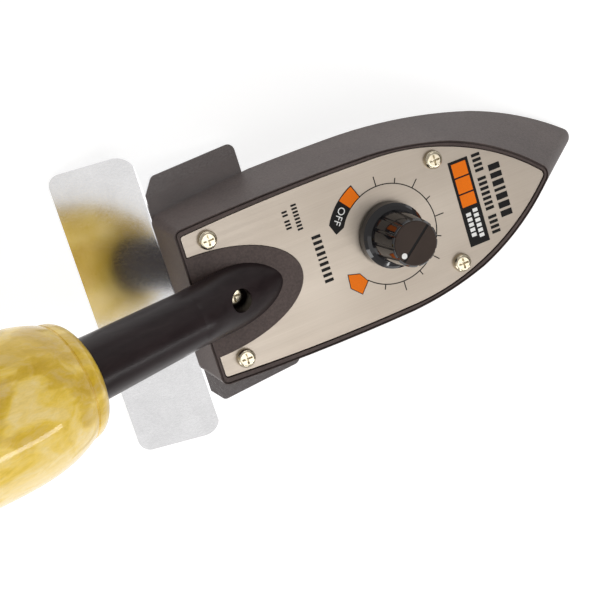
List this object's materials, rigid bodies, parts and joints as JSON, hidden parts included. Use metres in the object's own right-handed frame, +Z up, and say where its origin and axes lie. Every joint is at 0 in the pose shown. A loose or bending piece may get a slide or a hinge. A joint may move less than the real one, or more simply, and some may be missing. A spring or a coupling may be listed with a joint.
{
  "type": "edge-banding iron",
  "caption": "Small boat-shaped electric iron for edging strip, with a dial thermostat, folded sheet rest, slanting round neck and a turned wooden handle.",
  "frame": {"origin": "on the sole's flat working face, straight below the knob's axis", "axes": "+X forward to the pointed nose, +Y to the left, +Z up"},
  "size_m": [0.3203, 0.0898, 0.1017],
  "materials": {
    "sole": "ground working face, cast sides",
    "steel": "plain mill finish",
    "element": "heat-browned stainless sheath",
    "ceramic": "unglazed white ceramic",
    "screw": "bright nickel plate",
    "mica": "amber mica sheet",
    "brass": "turned brass",
    "silver": "silver contact",
    "phenolic": "dark phenolic moulding",
    "knob": "glossy black plastic",
    "knob_cap": "matte dark grey disc",
    "white": "white inlay",
    "plate": "brushed warm silver",
    "cover": "dark grey fine-texture paint",
    "gasket": "pressed ceramic-fibre board",
    "rest": "satin zinc-plated sheet",
    "neck": "smooth dark phenolic, semi-gloss",
    "handle": "ivory-yellow lacquer over mottled figure",
    "grommet": "black rubber",
    "lead_a": "white glass-fibre sleeving",
    "lead_b": "brown glass-fibre sleeving"
  },
  "bodies": {
    "iron": {"sole_plate": "sole", "heating_element": "element", "element_seals": "ceramic", "element_pins": "steel", "pressure_plate": "steel", "clamp_screws": "steel", "mica_sheet": "mica", "thermostat_frame": "steel", "thermostat_screws": "steel", "thermostat_bush": "brass", "bush_washer": "steel", "bush_nut": "brass", "arm_pivot": "steel", "bimetal_strip": "brass", "bimetal_contact": "silver", "insulator_block": "ceramic", "control_plate": "plate", "plate_screws": "screw", "cover": "cover", "gasket": "gasket", "cover_screw": "steel", "rest_bracket": "rest", "neck": "neck", "neck_screw": "screw", "handle": "handle", "handle_tube": "steel", "handle_washer": "steel", "handle_nut": "steel", "cord_grommet": "grommet", "terminal_block": "ceramic", "terminal_inserts": "brass", "terminal_screws": "steel", "block_screw": "steel", "thermal_fuse": "steel", "fuse_clip": "steel", "lead_fuse": "lead_a", "lead_bimetal": "lead_a", "lead_neutral": "lead_b", "lead_element": "lead_a", "earth_screw": "brass"},
    "dial_knob": {"knob": "knob", "knob_cap": "knob_cap", "knob_dot": "white", "knob_set_screw": "steel", "spindle": "brass", "cam": "phenolic"},
    "switch_arm": {"contact_arm": "brass", "arm_contact": "silver"}
  },
  "joints": [
    {"name": "knob_turn", "type": "hinge", "parent": "iron", "child": "dial_knob", "pos_m": [0, 0, 0.0361], "axis": [0, 0, 1], "range_deg": [0, 285]},
    {"name": "arm_swing", "type": "hinge", "parent": "iron", "child": "switch_arm", "pos_m": [-0.017, 0.0096, 0.02], "axis": [0, 0, 1], "range_deg": [0, 4.75]}
  ],
  "couplings": [
    {"joint": "arm_swing", "follows": "knob_turn", "ratio": 0.016556}
  ]
}
